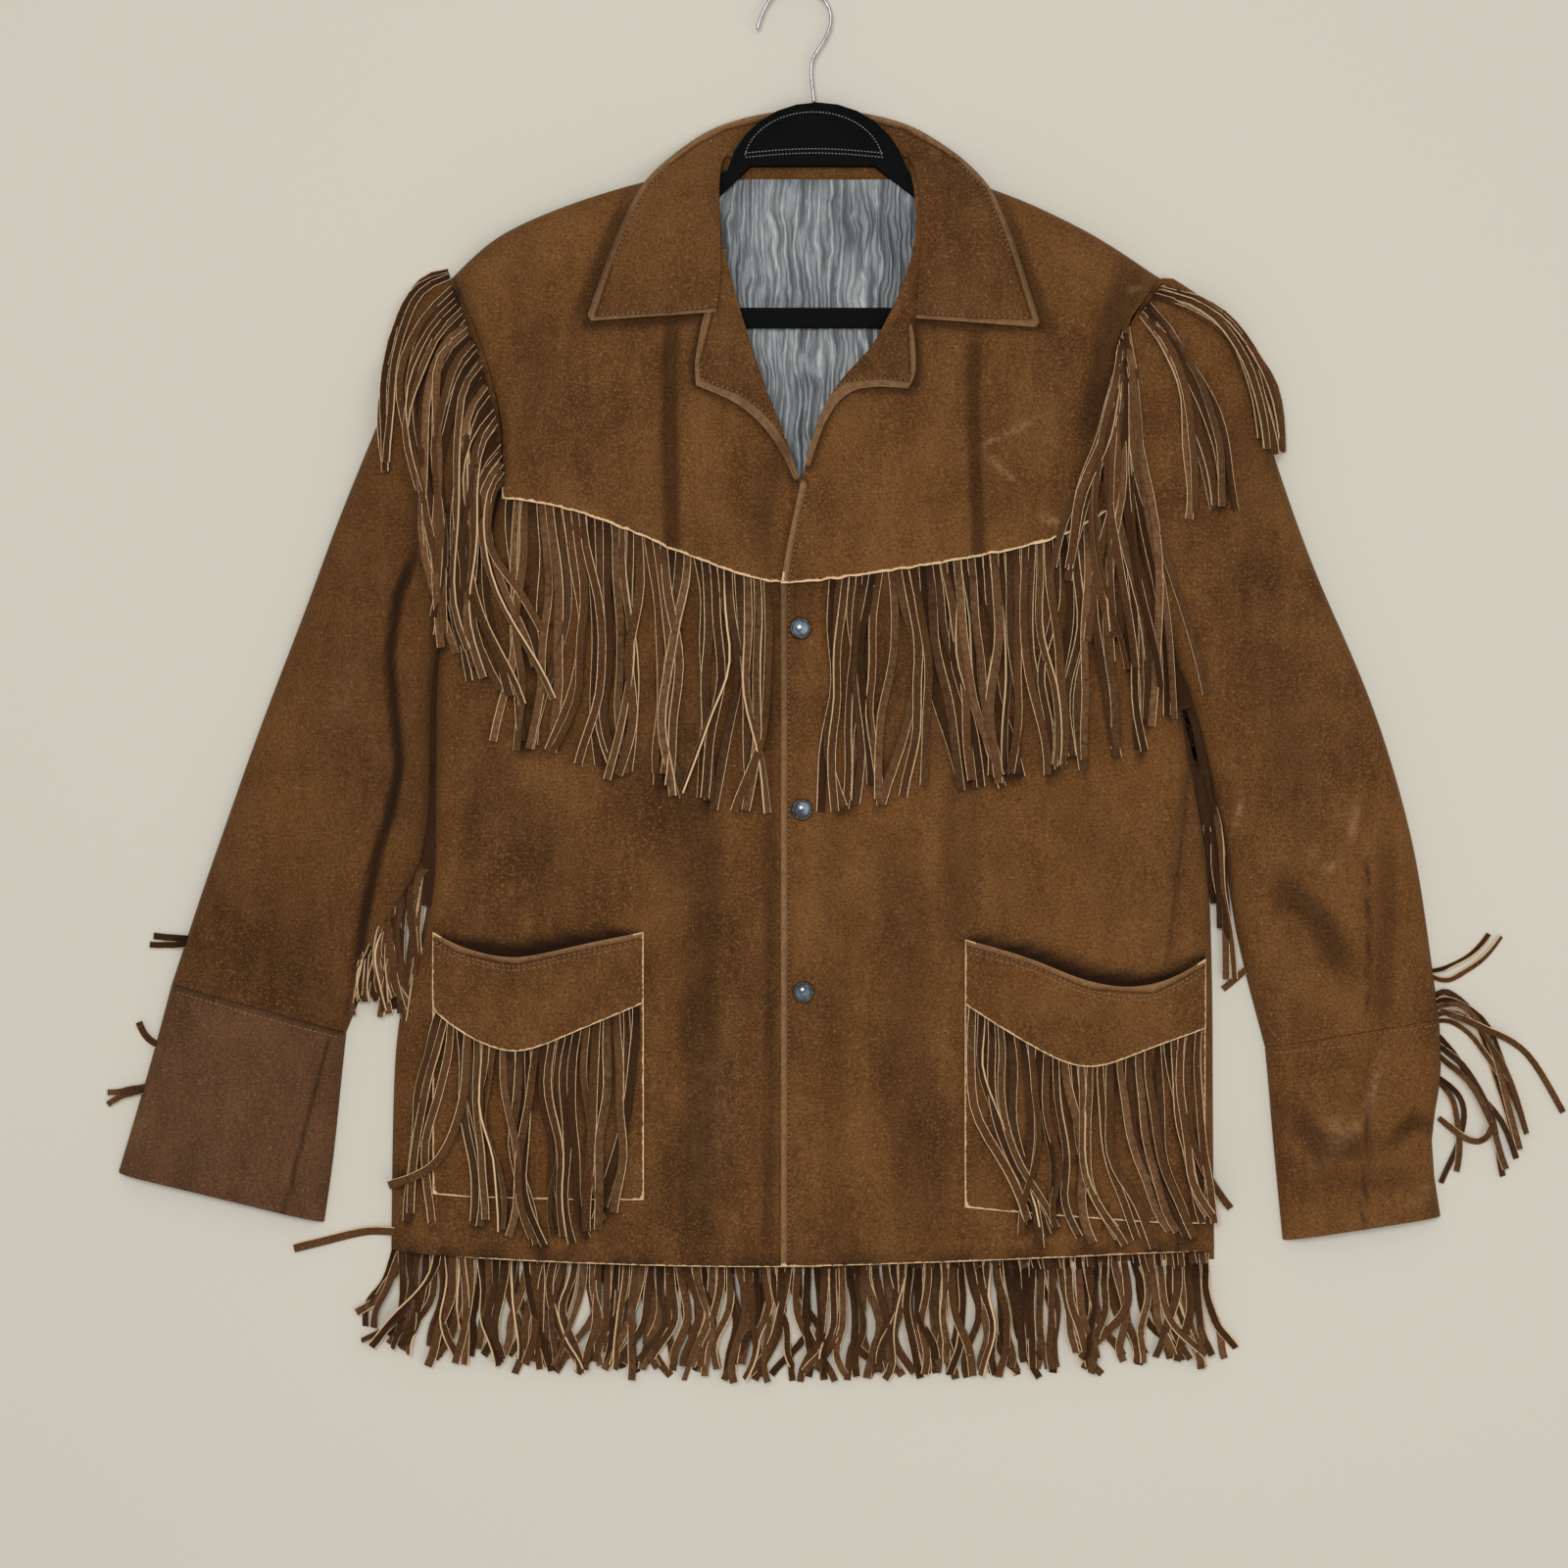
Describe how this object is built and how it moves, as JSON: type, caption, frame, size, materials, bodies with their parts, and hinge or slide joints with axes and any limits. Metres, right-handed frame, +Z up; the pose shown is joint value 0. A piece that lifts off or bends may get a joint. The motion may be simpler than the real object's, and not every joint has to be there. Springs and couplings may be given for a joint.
{
  "type": "western jacket on a hanger",
  "caption": "Fringed suede western jacket with pointed yokes, a wide collar and patch pockets, snapped shut and laid flat on a plain hanger",
  "frame": {"origin": "middle of the back panel's flat underside, which the jacket lies on", "axes": "+X to the wearer's left sleeve, +Y to the collar and hook, +Z up off the surface it lies on"},
  "size_m": [0.9704, 0.9306, 0.0305],
  "materials": {
    "suede": "napped suede",
    "fringe": "napped suede, cut edges",
    "lining": "satin",
    "hanger": "flocked",
    "hook": "polished wire",
    "snap": "pearly cap"
  },
  "bodies": {
    "root": {"back": "suede", "sleeve_under_right": "suede", "sleeve_top_right": "suede", "cuff_under_right": "suede", "cuff_top_right": "suede", "sleeve_under_left": "suede", "sleeve_top_left": "suede", "cuff_under_left": "suede", "cuff_top_left": "suede", "front_right": "suede", "yoke_right": "suede", "front_left": "suede", "yoke_left": "suede", "lapel_right": "suede", "lapel_left": "suede", "collar": "suede", "pocket_right": "suede", "pocket_band_right": "suede", "pocket_left": "suede", "pocket_band_left": "suede", "fringe_yoke_right": "fringe", "fringe_yoke_left": "fringe", "fringe_pocket_right": "fringe", "fringe_pocket_left": "fringe", "fringe_hem_back": "fringe", "fringe_hem_front": "fringe", "fringe_sleeve_right": "fringe", "fringe_sleeve_right_inner": "fringe", "fringe_sleeve_left": "fringe", "fringe_armhole_right": "fringe", "fringe_armhole_left": "fringe", "back_lining": "lining", "hanger": "hanger", "hanger_hook": "hook", "snap_1": "snap", "snap_2": "snap", "snap_3": "snap"}
  },
  "joints": []
}
